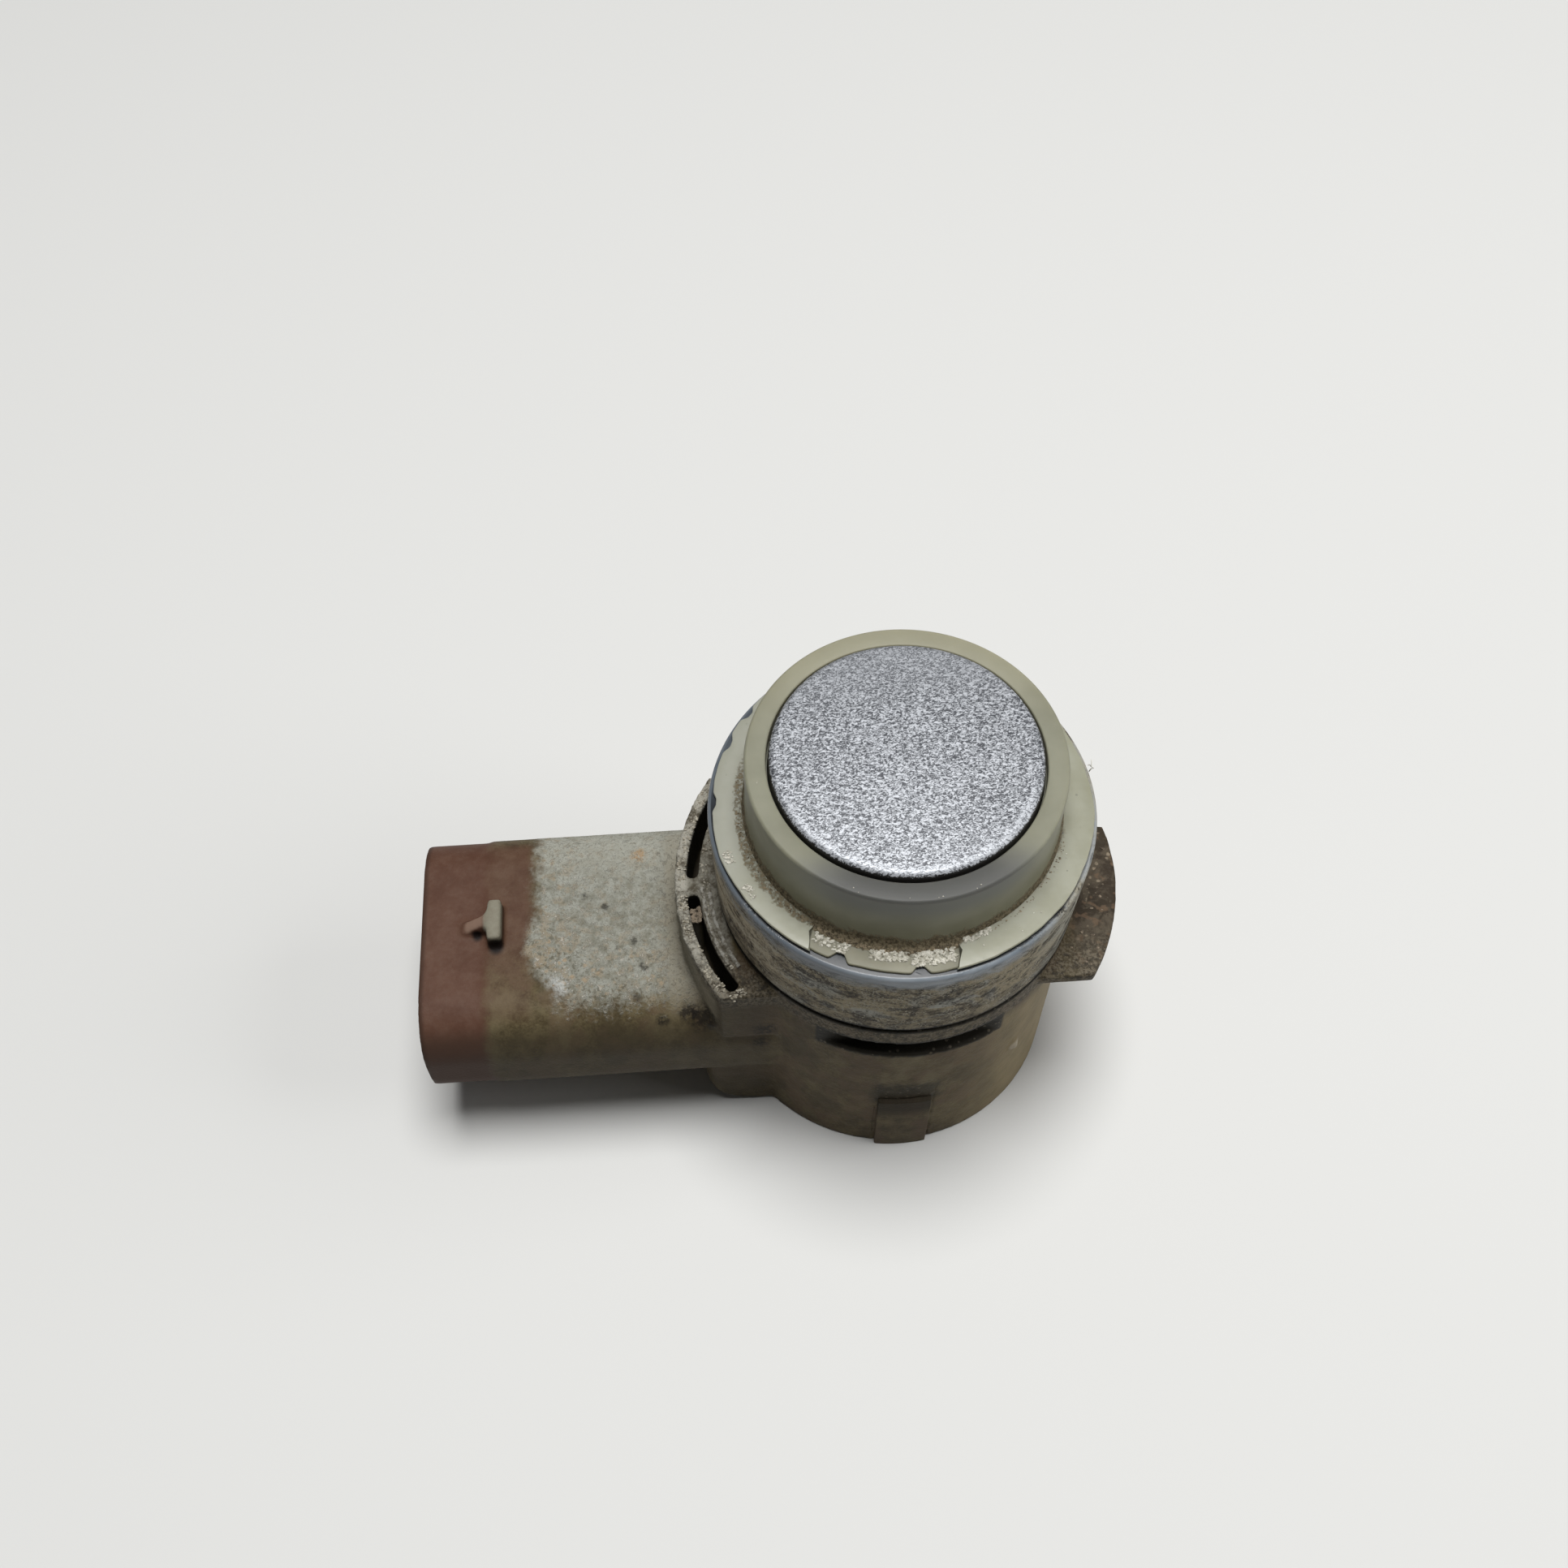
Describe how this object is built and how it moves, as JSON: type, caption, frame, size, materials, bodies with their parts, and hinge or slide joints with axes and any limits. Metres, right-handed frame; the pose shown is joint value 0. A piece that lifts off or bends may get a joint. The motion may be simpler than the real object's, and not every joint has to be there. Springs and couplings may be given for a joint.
{
  "type": "parking sensor",
  "caption": "Used ultrasonic parking sensor: moulded barrel with a silver transducer face in a silicone ring, side ears and a side connector with contact pins in its socket.",
  "frame": {"origin": "on the barrel's axis, at the rear face that the sensor stands on", "axes": "+Z along the barrel's axis towards the transducer's face, -X along the connector towards its mouth"},
  "size_m": [0.0436, 0.0226, 0.0304],
  "materials": {
    "housing_plastic": "dark red-brown moulded plastic under grey and brown road dirt",
    "cover_plastic": "dark brown moulded plastic",
    "potting_gel": "black potting compound",
    "board": "green solder mask",
    "chip_resin": "black moulding resin",
    "ferrite": "dark grey sintered ferrite",
    "copper_wire": "enamelled copper wire",
    "can_aluminium": "plain drawn can",
    "chip_ceramic": "tan ceramic",
    "chip_film": "black film on ceramic",
    "tinned_contact": "tin-plated contact",
    "silver_paint": "metallic silver paint with fine grain",
    "piezo_ceramic": "pale ceramic",
    "damping_foam": "soft pale foam",
    "lead_red": "red insulation",
    "lead_black": "black insulation",
    "silicone": "milky translucent silicone, stained beige",
    "ring_plastic": "milky blue-white plastic with brown grime"
  },
  "bodies": {
    "root": {"housing": "housing_plastic", "rear_cover": "cover_plastic", "potting": "potting_gel", "circuit_board": "board", "sensor_chip": "chip_resin", "transformer_core": "ferrite", "transformer_winding": "copper_wire", "buffer_capacitor": "can_aluminium", "chip_capacitors": "chip_ceramic", "chip_resistors": "chip_film", "supply_pin": "tinned_contact", "signal_pin": "tinned_contact", "ground_pin": "tinned_contact", "transducer_cup": "silver_paint", "piezo_disc": "piezo_ceramic", "damping_pad": "damping_foam", "hot_lead": "lead_red", "ground_lead": "lead_black", "decoupling_ring": "silicone", "retaining_ring": "ring_plastic"}
  },
  "joints": []
}
